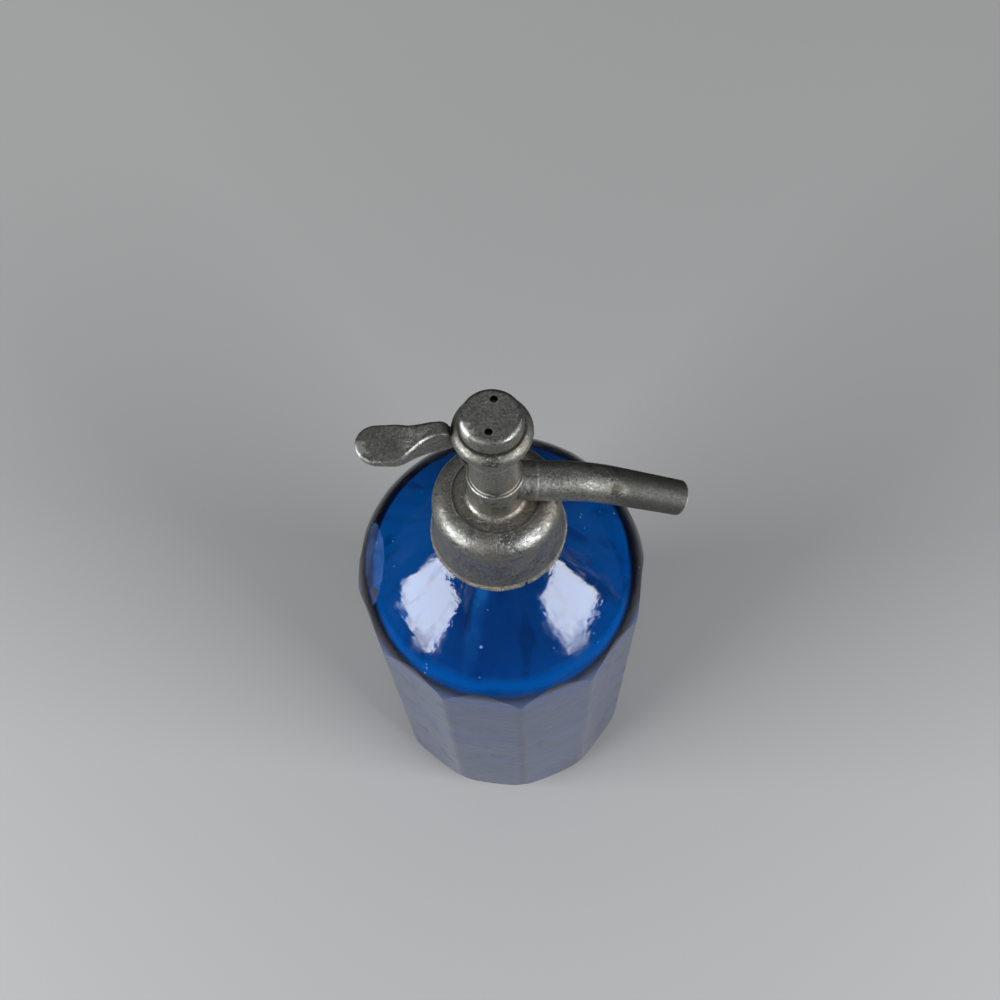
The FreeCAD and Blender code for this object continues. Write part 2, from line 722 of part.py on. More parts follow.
def make_tube_bush():
    body = new_body("tube_bush", f"{SLEEVE_FOOT_Z} - bush_flange_thickness")
    turn(body, "Sleeve", [
        ("tube_r + running_gap", "0"),
        ("bush_flange_r", "0"),
        ("bush_flange_r", "bush_flange_thickness"),
        ("tube_r + tube_sleeve_wall", "bush_flange_thickness"),
        ("tube_r + tube_sleeve_wall", "bush_flange_thickness + tube_socket_depth - tube_top_gap"),
        ("tube_r + running_gap", "bush_flange_thickness + tube_socket_depth - tube_top_gap"),
    ])
    return body


def make_valve_disc():
    body = new_body("valve_disc", "seat_top_z")
    turn(body, "Disc", [
        ("0", "0"),
        ("disc_r", "0"),
        ("disc_r", "valve_rubber_thickness"),
        ("0", "valve_rubber_thickness"),
    ])
    return body


def make_valve_cup():
    """The cup that holds the rubber, screwed on the spindle's stub."""
    body = new_body("valve_cup", CUP_FOOT_Z)
    recess_z = "(valve_rubber_thickness - rubber_proud)"
    turn(body, "Cup", [
        ("stub_r + thread_gap", recess_z),
        ("disc_r + running_gap", recess_z),
        ("disc_r + running_gap", "0"),
        ("cup_r", "0"),
        ("cup_r", "cup_rim_height"),
        ("cup_top_r", "cup_height"),
        ("stub_r + thread_gap", "cup_height"),
    ])
    return body


def make_spindle():
    """Rod with a threaded stub below, and above it the crosshead with the lever's mortise."""
    foot_z = f"({CUP_FOOT_Z} + valve_rubber_thickness - rubber_proud)"
    body = new_body("spindle", foot_z)

    def up(height):
        return f"({height}) - {foot_z}"

    turn(body, "Rod", [
        ("0", "0"),
        ("stub_r", "0"),
        ("stub_r", up(f"{CUP_FOOT_Z} + cup_height")),
        ("rod_r", up(f"{CUP_FOOT_Z} + cup_height")),
        ("rod_r", up("crosshead_foot_z")),
        ("crosshead_r", up("crosshead_foot_z")),
        ("crosshead_r", up("crosshead_top_z")),
        ("spigot_r", up("crosshead_top_z")),
        ("spigot_r", up("crosshead_top_z + spigot_height")),
        ("0", up("crosshead_top_z + spigot_height")),
    ])
    mortise = new_sketch(body, "MortiseOutline", "YZ_Plane")
    half = "(tongue_width / 2 + tongue_gap)"
    draw(mortise, [
        (f"0 - {half}", up(MORTISE_FLOOR_Z)),
        (half, up(MORTISE_FLOOR_Z)),
        (half, up(MORTISE_ROOF_Z)),
        (f"0 - {half}", up(MORTISE_ROOF_Z)),
    ])
    cut_through(body, mortise, "Mortise")
    return body


def make_gland_nut():
    """Threaded ring that presses the packing down, with a slot for a driver."""
    foot_z = f"{GLAND_FLOOR_Z} + packing_thickness + packing_washer_thickness"
    body = make_ring("gland_nut", foot_z, "rod_r + 2 * running_gap", "gland_bore_r - thread_gap", "gland_nut_height")
    slot = new_sketch(body, "DriverSlot")
    draw(slot, [
        ("0 - gland_slot_width / 2", "gland_nut_height - gland_slot_depth"),
        ("gland_slot_width / 2", "gland_nut_height - gland_slot_depth"),
        ("gland_slot_width / 2", "gland_nut_height + 1"),
        ("0 - gland_slot_width / 2", "gland_nut_height + 1"),
    ])
    cut_through(body, slot, "Slot")
    return body


def make_spring():
    """Return spring between the crosshead and the cap's ceiling."""
    helix = doc.addObject("Part::Helix", "SpringHelix")
    bind(helix, "Radius", "spring_mean_r")
    room = f"({CAP_CEILING_Z} - crosshead_top_z - 2 * spring_wire_r - 2 * running_gap)"
    bind(helix, "Height", room)
    bind(helix, "Pitch", f"{room} / spring_coils")
    wire = doc.addObject("Part::Circle", "SpringWire")
    wire.Placement = Placement(Vector(measure("spring_mean_r"), 0, 0), Rotation(Vector(1, 0, 0), 90))
    bind(wire, "Placement.Base.x", "spring_mean_r")
    bind(wire, "Radius", "spring_wire_r")
    coil = doc.addObject("Part::Sweep", "spring")
    coil.Sections = [wire]
    doc.recompute()
    coil.Spine = (helix, [f"Edge{n + 1}" for n in range(len(helix.Shape.Edges))])
    coil.Solid = True
    coil.Frenet = True
    bind(coil, "Placement.Base.z", "crosshead_top_z + spring_wire_r + running_gap")
    return coil


# --- cap, lever and pin ------------------------------------------------------------------------


def make_cap():
    """Screwed cap with a rolled rim and two blind spanner holes in its flat top."""
    body = new_body("cap", CAP_FOOT_Z)
    body.Placement = Placement(body.Placement.Base, Rotation(Vector(0, 0, 1), SIZES["cap_turn"]))
    bind(body, "Placement.Rotation.Angle", "cap_turn")
    height = f"(cap_top_z - {CAP_FOOT_Z})"
    ceiling = f"({CAP_CEILING_Z} - {CAP_FOOT_Z})"
    turn(body, "Cap", [
        ("nipple_r + thread_gap", "0"),
        ("cap_r - cap_foot_round", "0", LEFT, "cap_foot_round"),
        ("cap_r", "cap_foot_round"),
        ("cap_r - cap_foot_round / 2", f"{height} - cap_rim_r", LEFT, "cap_rim_r"),
        ("cap_r - cap_foot_round / 2 - cap_rim_r", height),
        ("0", height),
        ("0", ceiling),
        ("nipple_r + thread_gap", ceiling),
    ])
    hole = new_sketch(body, "SpannerHole", "XY_Plane")
    hole.AttachmentOffset = Placement(Vector(0, 0, measure(height)), Rotation())
    bind(hole, "AttachmentOffset.Base.z", height)
    draw_circle(hole, "spanner_hole_r", "0", "spanner_hole_spacing / 2")
    drilled = cut_deep(body, hole, "SpannerHoleCut", "spanner_hole_depth")
    pattern(body, drilled, "SpannerHoles", "2")
    return body


def make_lever():
    """Thumb paddle, deep web and tongue: the side view is padded, then cut to the plan view."""
    body = new_body("lever", "lever_base_z", "lever_tip_x")

    def along(x):
        return f"({x}) - lever_tip_x"

    def up(z):
        return f"({z}) - lever_base_z"

    side = new_sketch(body, "SideView")
    tongue_top_z = "(slot_top_z - tongue_gap)"
    corner_r = f"(web_top_z - {tongue_top_z})"
    corner_x = f"(web_end_x - {corner_r} * (1 + sin(crest_slope)))"
    corner_z = f"(web_top_z - {corner_r} * (1 - cos(crest_slope)))"
    crest_x = f"({corner_x} - crest_r * (sin(web_slope) - sin(crest_slope)))"
    crest_z = f"({corner_z} - crest_r * (cos(crest_slope) - cos(web_slope)))"
    hollow_run = f"({crest_x} - ({crest_z} - hollow_z) / tan(web_slope) - hollow_x)"
    hollow_r = f"({hollow_run} / tan(web_slope / 2))"
    foot_x = f"(hollow_x + {hollow_run} * (1 + cos(web_slope)))"
    foot_z = f"(hollow_z + {hollow_run} * sin(web_slope))"
    draw(side, [
        (along("lever_tip_x"), up("paddle_tip_z - 0.6 * paddle_tip_thickness")),
        (along("lever_tip_x + paddle_tip_thickness"), up("paddle_tip_z - paddle_tip_thickness"), LEFT, "underside_r"),
        (along("hollow_x"), up("web_underside_z")),
        (along("pin_x - 2 * pin_r"), up("web_root_z")),
        (along("tongue_neck_x"), up(f"{NOSE_Z} - 0.5 * nose_r")),
        (along("nose_x - nose_r * 0.6"), up(f"{NOSE_Z} - nose_r * 0.8"), LEFT, "nose_r"),
        (along("nose_x + nose_r"), up(NOSE_Z), LEFT, "nose_r"),
        (along("nose_x - nose_r * 0.6"), up(f"{NOSE_Z} + nose_r * 0.8")),
        (along("tongue_neck_x"), up(f"{MORTISE_ROOF_Z} - mortise_clearance")),
        (along("web_end_x + nose_r * 0.4"), up(tongue_top_z)),
        (along("web_end_x"), up(tongue_top_z), LEFT, corner_r),
        (along(corner_x), up(corner_z), LEFT, "crest_r"),
        (along(crest_x), up(crest_z)),
        (along(foot_x), up(foot_z), RIGHT, hollow_r),
        (along("hollow_x"), up("hollow_z"), RIGHT, "paddle_dish_r"),
        (along("lever_tip_x"), up("paddle_tip_z")),
    ])
    blank = body.newObject("PartDesign::Pad", "Blank")
    blank.Profile = side
    blank.SideType = "Symmetric"
    bind(blank, "Length", "2 * paddle_half_width")
    plan = new_sketch(body, "PlanView", "XY_Plane")
    half = "(tongue_width / 2)"
    flare_x = "(paddle_shoulder_x + paddle_flare_r * sin(paddle_flare_turn))"
    flare_y = "(paddle_half_width - paddle_flare_r * (1 - cos(paddle_flare_turn)))"
    beyond_tip, beyond_nose = "(0 - paddle_half_width)", along("nose_x + nose_r + paddle_half_width")
    draw(plan, [
        (beyond_tip, "0 - 2 * paddle_half_width"),
        (beyond_nose, "0 - 2 * paddle_half_width"),
        (beyond_nose, "2 * paddle_half_width"),
        (beyond_tip, "2 * paddle_half_width"),
    ])
    draw(plan, [
        ("0", "0", LEFT, "paddle_half_width"),
        ("paddle_half_width", "0 - paddle_half_width"),
        (along("paddle_shoulder_x"), "0 - paddle_half_width", LEFT, "paddle_flare_r"),
        (along(flare_x), f"0 - {flare_y}", RIGHT, "web_flare_r"),
        (along("web_end_x - web_end_run"), "0 - web_half_width", LEFT, "web_end_r"),
        (along("web_end_x"), f"0 - {half}"),
        (along("nose_x + nose_r + 1"), f"0 - {half}"),
        (along("nose_x + nose_r + 1"), half),
        (along("web_end_x"), half, LEFT, "web_end_r"),
        (along("web_end_x - web_end_run"), "web_half_width", RIGHT, "web_flare_r"),
        (along(flare_x), flare_y, LEFT, "paddle_flare_r"),
        (along("paddle_shoulder_x"), "paddle_half_width"),
        ("paddle_half_width", "paddle_half_width", LEFT, "paddle_half_width"),
    ])
    cut_through(body, plan, "PlanCut")
    eye = new_sketch(body, "Eye")
    draw_circle(eye, "pin_r + running_gap", along("pin_x"), up("pin_z"))
    eye_bore = cut_through(body, eye, "EyeBore")
    lowest_z, last_x = measure(up("hollow_z")) - 0.01, measure(along("web_end_x")) + 0.01

    def is_rim(edge):
        box = edge.BoundBox
        upright = box.ZLength > 3 * max(box.XLength, box.YLength)
        crosswise = box.YMax * box.YMin < -0.01
        return box.XMax < last_x and box.ZMin > lowest_z and not upright and not crosswise

    round_edges(body, eye_bore, "Rim", "lever_edge_r", is_rim)
    return body


def make_lever_pin():
    """Fulcrum pin, filed flush with the bulb."""
    pin = doc.addObject("Part::Cylinder", "PinBlank")
    bind(pin, "Radius", "pin_r - pin_gap")
    bind(pin, "Height", "2 * bulb_r")
    pin.Placement = Placement(Vector(0, 0, 0), Rotation(Vector(1, 0, 0), 90))
    bind(pin, "Placement.Base.x", "pin_x")
    bind(pin, "Placement.Base.y", "bulb_r")
    bind(pin, "Placement.Base.z", "pin_z")
    envelope = doc.addObject("Part::Cylinder", "PinEnvelope")
    bind(envelope, "Radius", "bulb_r - 2 * thread_gap")
    bind(envelope, "Height", "nipple_top_z")
    flush = doc.addObject("Part::MultiCommon", "lever_pin")
    flush.Shapes = [pin, envelope]
    return flush


def make_pieces():
    gland_foot = GLAND_FLOOR_Z
    pieces = [
        make_bottle(),
        make_dip_tube(),
        make_head_body(),
        make_spout(),
        make_collar_half("collar_half_front", 180),
        make_collar_half("collar_half_back", 0),
        make_ring("lip_washer", "lip_z", "neck_bore_r", "bead_r - thread_gap", "lip_washer_thickness"),
        make_neck_packing(),
        make_valve_seat(),
        make_ring("seat_washer", SEAT_SHOULDER_Z, "seat_thread_r + thread_gap", "seat_flange_r",
                  "seat_washer_thickness"),
        make_tube_bush(),
        make_valve_disc(),
        make_valve_cup(),
        make_spindle(),
        make_ring("packing_leather", gland_foot, "rod_r + running_gap", "gland_bore_r - running_gap",
                  "packing_thickness"),
        make_ring("packing_washer", f"{gland_foot} + packing_thickness", "rod_r + 2 * running_gap",
                  "gland_bore_r - 2 * thread_gap", "packing_washer_thickness"),
        make_gland_nut(),
        make_spring(),
        make_ring("cap_washer", "nipple_top_z", "chamber_r + running_gap", "nipple_r", "cap_washer_thickness"),
        make_cap(),
        make_lever(),
        make_lever_pin(),
    ]
    doc.removeObject(sums.Name)
    doc.recompute()
    return pieces


def check(pieces):
    """Stops where a feature failed or a piece isn't one sound solid."""
    for thing in doc.Objects:
        if "Invalid" in thing.State or "Error" in thing.State:
            raise RuntimeError(f"{thing.Label} failed: {thing.State}")
    for piece in pieces:
        shape = piece.Shape
        if shape.isNull() or not shape.isValid() or len(shape.Solids) != 1:
            raise RuntimeError(f"{piece.Label} is not one valid solid")


def main():
    pieces = make_pieces()
    check(pieces)
    os.makedirs("parts", exist_ok=True)
    for piece in pieces:
        piece.Shape.exportStep(f"parts/{piece.Label}.step")
        box = piece.Shape.BoundBox
        print(f"{piece.Label}: {piece.Shape.Volume:.1f} mm3, z {box.ZMin:.2f} to {box.ZMax:.2f}")


main()
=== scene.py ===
import json
import math

import bpy
import numpy as np
from mathutils import Matrix, Vector


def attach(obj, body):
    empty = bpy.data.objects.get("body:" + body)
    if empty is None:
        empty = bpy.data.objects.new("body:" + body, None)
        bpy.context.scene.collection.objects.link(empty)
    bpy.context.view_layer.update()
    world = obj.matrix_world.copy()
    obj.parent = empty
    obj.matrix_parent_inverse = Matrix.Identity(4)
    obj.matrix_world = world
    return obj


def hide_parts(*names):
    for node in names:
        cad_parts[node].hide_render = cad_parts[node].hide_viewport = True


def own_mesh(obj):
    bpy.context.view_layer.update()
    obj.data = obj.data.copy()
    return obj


# Looks of the soda siphon: cobalt glass, worn pewter and dried leather on a pale studio floor.
# Lengths are in metres and colours are linear. Every texture runs on the object's own
# coordinates, so its scales are per metre. A pair of numbers is where a ramp starts and ends.

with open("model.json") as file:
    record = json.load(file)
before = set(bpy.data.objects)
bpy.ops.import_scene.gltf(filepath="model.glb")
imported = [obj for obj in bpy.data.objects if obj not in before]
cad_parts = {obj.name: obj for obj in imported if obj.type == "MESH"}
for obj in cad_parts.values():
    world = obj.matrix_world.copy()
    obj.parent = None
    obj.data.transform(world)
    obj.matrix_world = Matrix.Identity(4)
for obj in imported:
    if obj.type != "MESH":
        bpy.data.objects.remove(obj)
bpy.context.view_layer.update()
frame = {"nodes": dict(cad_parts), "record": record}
nodes = frame["nodes"]


def rgba(red, green, blue):
    return (red, green, blue, 1.0)


# Blue glass, by height: where the panels' film fades into the clear dome and where it thins out
# before that, the painted band of light round the shoulder's foot and the darker band below it.
PANEL_FADE = (0.1515, 0.1605)
DUST_THINS = (0.138, 0.153)
GLOW_RISES = (0.1620, 0.1650)
GLOW_ENDS = (0.1650, 0.1695)
FOOT_DARKENS = (0.1585, 0.1630)
# Between two heights, the glancing view at which the wall is painted dark goes from one to
# another.
RIM_HEIGHTS = (0.1695, 0.177)
RIM_VIEWS = (0.38, 0.70)
RIM_BLUR = 0.10
# The panels' corners: their turn from +X, half a panel's angle, and how soft the edges look.
CORNER_TURN = math.radians(4)
CORNER_STEP = math.radians(15)
PANEL_EDGE_SOFTNESS = 0.0010
# The plane that splits a flake off the shoulder on the lever's side, and the flake's foot.
FLAKE_NORMAL = (-0.875, 0.0, 0.484)
FLAKE_REACH = 0.1229
FLAKE_FOOT = (0.1640, 0.1665)
# Single marks, each a centre and a radius.
CHIP = ((-0.0475, -0.0135, 0.1687), 0.0022)
DRIP = ((0.0033, -0.0560, 0.0978), 0.0020)
BUBBLE = ((-0.0090, -0.0403, 0.1774), 0.0007)
# The dip tube's painted image, as seen through the shoulder: a point in X and Y, its lean and
# half width, and where it starts and ends in Y. Painted light makes the dome lighter behind, also
# in Y.
TUBE_X, TUBE_Y = -0.0082, -0.0268
TUBE_LEAN = 0.313
TUBE_HALF_WIDTH = 0.0040
TUBE_STARTS = (-0.050, -0.040)
TUBE_ENDS = (-0.022, -0.018)
BACK_LIGHTENS = (-0.025, 0.025)

COBALT_DEEP = (rgba(0.001, 0.050, 0.30), rgba(0.002, 0.125, 0.50))
# painted light: the lighter blues where the dome is seen at a slant and at its back
COBALT_BRIGHT = (rgba(0.001, 0.13, 0.56), rgba(0.002, 0.18, 0.70))
COBALT_BACK = rgba(0.004, 0.20, 0.70)
COBALT_STREAK = rgba(0.001, 0.025, 0.15)
# painted light: the bright band round the shoulder's foot
COBALT_GLOW = rgba(0.001, 0.12, 0.52)
COBALT_FOOT = rgba(0.004, 0.035, 0.16)
# the dip tube's painted image, as seen through the glass
COBALT_TUBE = rgba(0.03, 0.30, 0.70)
# painted shade: the dark rim where the wall is seen along its length
COBALT_RIM = rgba(0.004, 0.006, 0.014)
COBALT_MASS = rgba(0.0, 0.70, 0.93)
COBALT_MASS_DENSITY = 60.0
DUST_FILM = (rgba(0.036, 0.065, 0.175), rgba(0.058, 0.090, 0.212))
DUST_TOP = rgba(0.02, 0.085, 0.32)
DUST_WASHED = rgba(0.012, 0.06, 0.27)
DUST_SEAM = rgba(0.004, 0.008, 0.03)
# the flake's split face: a lighter blue with painted reflection of the pale room
FLAKE_FACE = (rgba(0.012, 0.045, 0.17), rgba(0.05, 0.11, 0.30))
CHIP_FACE = rgba(0.055, 0.04, 0.03)
SEED_FACE = rgba(0.30, 0.36, 0.50)

PEWTER_GRAIN = (rgba(0.195, 0.193, 0.178), rgba(0.40, 0.395, 0.368))
PEWTER_PATINA = rgba(0.15, 0.142, 0.122)
PEWTER_DULL = rgba(0.075, 0.073, 0.066)
PEWTER_RUST = rgba(0.36, 0.23, 0.10)
PEWTER_RUBBED = rgba(0.66, 0.65, 0.63)
# dark grime and painted shade in the crevices
PEWTER_DIRT_AND_SHADE = rgba(0.07, 0.06, 0.045)
DULL_BLEND = 0.016

# Each casting's own wear and painted highlights: how strongly its rust shows, the X from which it
# is dull, and its ragged spots, each a centre, a radius and a colour: the bright ones are painted
# highlights, the dark one a stain.
PEWTER_WEAR_AND_HIGHLIGHTS = {
    "head_body": {"brown": 0.9},
    "spout": {
        "brown": 0.25,
        "dull_from": 0.038,
        "marks": [((0.0412, -0.0043, 0.2277), 0.0022, rgba(0.05, 0.045, 0.035))],
    },
    "cap": {
        "brown": 0.25,
        # a painted highlight on the cap's rim
        "marks": [((-0.0090, -0.0042, 0.2770), 0.0034, rgba(0.75, 0.74, 0.72))],
    },
    "lever": {
        "brown": 0.25,
        # a painted highlight on the paddle's rim
        "marks": [((-0.0428, -0.0020, 0.2640), 0.0030, rgba(0.62, 0.61, 0.59))],
    },
}
# Scratches run three ways, each a turn in degrees and a noise scale that is fine across them.
SCRATCH_RUNS = (
    ((0, 0, 20), (5200, 240, 240)),
    ((35, 60, 0), (240, 6400, 240)),
    ((70, 10, 50), (300, 300, 5200)),
)

LEATHER_TAN = (rgba(0.07, 0.058, 0.043), rgba(0.40, 0.35, 0.28))
LEATHER_GREY = rgba(0.13, 0.12, 0.105)
# painted shade in the hollows between the fibres
LEATHER_HOLLOW_SHADE = rgba(0.025, 0.02, 0.015)
BRASS = (rgba(0.40, 0.27, 0.10), rgba(0.72, 0.55, 0.27))
RUBBER = (rgba(0.025, 0.022, 0.02), rgba(0.07, 0.06, 0.05))
STEEL = (rgba(0.42, 0.41, 0.40), rgba(0.66, 0.66, 0.66))
STEEL_TARNISHED = (rgba(0.069, 0.0662, 0.0625), rgba(0.165, 0.156, 0.147))
TUBE_GLASS = rgba(0.93, 0.97, 0.98)

# The leather ring: its mesh, the cut where its ends butt, and how its rim is split and rounded.
# The fibres' widths are in steps round the ring.
RING_STEPS = 1440
RING_LEVELS = 9
RING_SEED = 11
RING_CUT_ANGLE = math.radians(-69)
RING_CUT_WIDTH = 0.0004
RING_CUT_DEPTH = 0.0012
RING_FIBRE_DEPTH = 0.0005
RING_FINE_FIBRE, RING_COARSE_FIBRE = 1.2, 3.0
RING_WAVE_WIDTH = 30
RING_WAVE_DEPTH = 0.0003
RING_ROUND_DEPTH = 0.0004

# The floor: where painted light makes it paler behind the siphon, how far a mirroring surface
# sees it, and the ring at which it gives way to the backdrop.
FLOOR_HALF_SIDE = 4.0
FLOOR_DROP = 0.0001
FLOOR_PALER = (0.10, 0.80)
MIRRORED_FLOOR = (0.16, 0.42)
BACKDROP_RING = (0.8, 1.7)
PAPER_NEAR = (rgba(0.450, 0.437, 0.435), rgba(0.480, 0.467, 0.465))
PAPER_FAR = rgba(0.76, 0.74, 0.72)
PAPER_TOOTH = rgba(0.3, 0.3, 0.3)
DARK_ROOM = rgba(0.01, 0.01, 0.012)
BACKDROP_FOOT = rgba(0.38, 0.38, 0.375)
BACKDROP = rgba(0.42, 0.42, 0.415)
ROOM_STRENGTH = 0.05

# The lamps: name, azimuth and elevation in degrees, distance, width, height and radiance.
LAMPS = (
    ("softbox_left", -158.5, 18.7, 1.0, 0.76, 0.405, 12.2),
    ("softbox_right", -32.0, 19.7, 1.0, 0.68, 0.405, 12.2),
    ("ceiling", 90.0, 62, 1.8, 2.2, 1.4, 0.28),
)
LAMP_TARGET = Vector((0, 0, 0.18))
LAMP_COLOUR = (0.94, 0.98, 1.0)

# The camera, as solved from the photograph: angles in radians, and the frame's origin as the
# camera sees it, to the right, down and ahead.
FRAME_PX = 1000
FOCAL_PX = 1280.0
CAMERA_PITCH = 1.1389226
CAMERA_ROLL = -0.0614
CAMERA_OFFSET = (0.00444, 0.090385, 0.642414)
SENSOR_WIDTH_MM = 36.0


# --- node graph helpers ------------------------------------------------------------------------


class Graph:
    """A short way to write a node tree."""

    def __init__(self, tree):
        self.tree = tree

    def add(self, kind, inputs=None, **settings):
        node = self.tree.nodes.new(kind)
        for name, value in settings.items():
            setattr(node, name, value)
        self.set(node, inputs or {})
        return node

    def set(self, node, inputs):
        for name, value in inputs.items():
            self.feed(node.inputs[name], value)

    def feed(self, socket, value):
        if isinstance(value, bpy.types.NodeSocket):
            self.tree.links.new(value, socket)
        else:
            socket.default_value = value

    def math(self, operation, *values):
        return self.add("ShaderNodeMath", dict(enumerate(values)), operation=operation).outputs[0]

    def times(self, first, second):
        return self.math("MULTIPLY", first, second)

    def plus(self, first, second):
        return self.math("ADD", first, second)

    def minus(self, first, second):
        return self.math("SUBTRACT", first, second)

    def most(self, first, *others):
        for other in others:
            first = self.math("MAXIMUM", first, other)
        return first

    def vector(self, operation, *values, out="Vector"):
        inputs = dict(enumerate(values))
        return self.add("ShaderNodeVectorMath", inputs, operation=operation).outputs[out]

    def axes(self, point):
        outputs = self.add("ShaderNodeSeparateXYZ", {"Vector": point}).outputs
        return outputs["X"], outputs["Y"], outputs["Z"]

    def ramp(self, factor, low, high, to=(0.0, 1.0), smooth=True):
        """The factor from low..high to the two numbers of to, held at both ends."""
        node = self.add("ShaderNodeMapRange", clamp=True)
        node.interpolation_type = "SMOOTHSTEP" if smooth else "LINEAR"
        self.set(node, dict(enumerate((factor, low, high, *to))))
        return node.outputs[0]

    def fade(self, factor, low, high, start=1.0):
        """Start where the factor is below low, and nought where it is above high."""
        return self.ramp(factor, low, high, to=(start, 0.0))

    def colour(self, factor, first, second):
        """The first colour where the factor is nought, the second where it is one."""
        node = self.add("ShaderNodeMix", data_type="RGBA")
        for index, value in zip((0, 6, 7), (factor, first, second)):
            self.feed(node.inputs[index], value)
        return node.outputs[2]

    def where(self, scale=(1, 1, 1), turn=(0, 0, 0), shift=(0, 0, 0)):
        """The object's own coordinates, scaled, turned by degrees and shifted."""
        inputs = {
            "Vector": self.add("ShaderNodeTexCoord").outputs["Object"],
            "Scale": scale,
            "Rotation": [math.radians(angle) for angle in turn],
            "Location": shift,
        }
        return self.add("ShaderNodeMapping", inputs).outputs[0]

    def noise(self, scale, vector=None, detail=3.0, rough=0.55, bend=0.0):
        inputs = {
            "Vector": vector or self.where(),
            "Scale": scale,
            "Detail": detail,
            "Roughness": rough,
            "Distortion": bend,
        }
        return self.add("ShaderNodeTexNoise", inputs).outputs["Fac"]

    def cells(self, scale, vector=None):
        inputs = {"Vector": vector or self.where(), "Scale": scale}
        return self.add("ShaderNodeTexVoronoi", inputs).outputs["Distance"]

    def open_space(self, distance, inside=False):
        """One where nothing stands within the distance of the surface, outside or inside it."""
        node = self.add("ShaderNodeAmbientOcclusion", {"Distance": distance}, samples=6)
        node.inside = inside
        return node.outputs["AO"]

    def ball(self, centre, radius, ragged=0.0):
        """One inside a ball about a point of the object, nought outside."""
        away = self.vector("DISTANCE", self.where(), centre, out="Value")
        return self.fade(self.plus(away, ragged), 0.75 * radius, radius)

    def bump(self, height, deep, strength=1.0, over=None):
        """The normal over a relief of the given depth, on top of the one before."""
        inputs = {"Height": height, "Distance": deep, "Strength": strength}
        if over is not None:
            inputs["Normal"] = over
        return self.add("ShaderNodeBump", inputs).outputs[0]

    def sees_backdrop(self):
        """One for the camera's rays and for those that have passed through glass."""
        path = self.add("ShaderNodeLightPath").outputs
        return self.most(path["Is Camera Ray"], path["Is Transmission Ray"])


def new_material(name):
    """A material with an empty tree: its graph, its principled shader and its output."""
    material = bpy.data.materials.new(name)
    material.use_nodes = True
    material.node_tree.nodes.clear()
    graph = Graph(material.node_tree)
    shader = graph.add("ShaderNodeBsdfPrincipled")
    output = graph.add("ShaderNodeOutputMaterial", {"Surface": shader.outputs[0]})
    return material, graph, shader, output


# --- pewter ------------------------------------------------------------------------------------


def pewter_material(name, seed, brown, dull_from=None, marks=()):
    """Cast pewter: satin grey under a brown patina, with pits, scratches, edges rubbed bright,
    dark grime with painted shade in its crevices, and ragged spots, the bright ones painted
    highlights.
    The other arguments are those of PEWTER_WEAR_AND_HIGHLIGHTS."""
    material, graph, shader, _ = new_material(name)
    shift = (seed * 0.37, seed * 0.11, seed * 0.23)
    here = graph.where(shift=shift)
    blotch = graph.noise(110, here, detail=4.0, rough=0.6, bend=0.3)
    mottle = graph.noise(430, here, detail=5.0, rough=0.75)
    speck = graph.noise(1300, here, detail=4.0, rough=0.75)
    tone = graph.plus(graph.times(blotch, 0.55), graph.times(mottle, 0.55))
    lines = [graph.noise(1.0, graph.where(scale, turn, shift), detail=2.0, rough=0.5)
             for turn, scale in SCRATCH_RUNS]
    scratch = graph.most(*[graph.ramp(line, 0.64, 0.70) for line in lines])
    rough = graph.ramp(tone, 0.46, 0.62, to=(0.36, 0.54))
    rough = graph.plus(rough, graph.times(scratch, -0.08))

    shown = graph.colour(graph.ramp(speck, 0.41, 0.60), *PEWTER_GRAIN)
    patina = graph.times(graph.ramp(tone, 0.46, 0.64), 0.60)
    shown = graph.colour(patina, shown, PEWTER_PATINA)
    if dull_from is not None:
        along = graph.plus(graph.axes(graph.where())[0], graph.times(blotch, 0.012))
        dull = graph.ramp(along, dull_from, dull_from + DULL_BLEND)
        shown = graph.colour(graph.times(dull, 0.85), shown, PEWTER_DULL)
        rough = graph.most(rough, graph.times(dull, 0.62))
    hollow = graph.fade(graph.open_space(0.014), 0.62, 0.90)
    sheltered = graph.most(hollow, graph.ramp(blotch, 0.54, 0.64, to=(0.0, 0.4)))
    rust = graph.times(graph.ramp(speck, 0.50, 0.60), sheltered)
    shown = graph.colour(graph.times(rust, brown), shown, PEWTER_RUST)
    edge = graph.fade(graph.open_space(0.0011, inside=True), 0.30, 0.85, start=0.75)
    rubbed = graph.times(edge, graph.ramp(mottle, 0.35, 0.6, to=(0.4, 1.0)))
    shown = graph.colour(rubbed, shown, PEWTER_RUBBED)
    frayed = graph.times(graph.minus(mottle, 0.5), 0.009)
    # ragged spots: the bright ones are painted highlights, the dark one a stain
    for centre, radius, tint in marks:
        spot = graph.times(graph.ball(centre, radius, frayed), 0.8)
        shown = graph.colour(spot, shown, tint)
    # dark grime and painted shade in the crevices, where little open space is about
    crevice = graph.fade(graph.open_space(0.003), 0.30, 0.80, start=0.8)
    shown = graph.colour(crevice, shown, PEWTER_DIRT_AND_SHADE)

    pits = graph.ramp(graph.cells(900, here), 0.10, 0.30)
    rare = graph.ramp(graph.noise(200, graph.where(shift=(0.5, seed, 0.2))), 0.50, 0.60)
    pits = graph.most(pits, graph.minus(1.0, rare))
    relief = graph.bump(graph.noise(150, here, detail=2.0, rough=0.5), deep=0.0008, strength=0.5)
    relief = graph.bump(mottle, deep=0.00019, strength=0.8, over=relief)
    relief = graph.bump(speck, deep=0.00008, strength=0.8, over=relief)
    relief = graph.bump(pits, deep=0.00010, strength=0.8, over=relief)
    relief = graph.bump(graph.minus(1.0, scratch), deep=0.00005, strength=0.6, over=relief)
    graph.set(shader, {
        "Base Color": shown,
        "Metallic": graph.ramp(tone, 0.42, 0.66, to=(1.0, 0.86)),
        "Roughness": rough,
        "Normal": relief,
    })
    return material


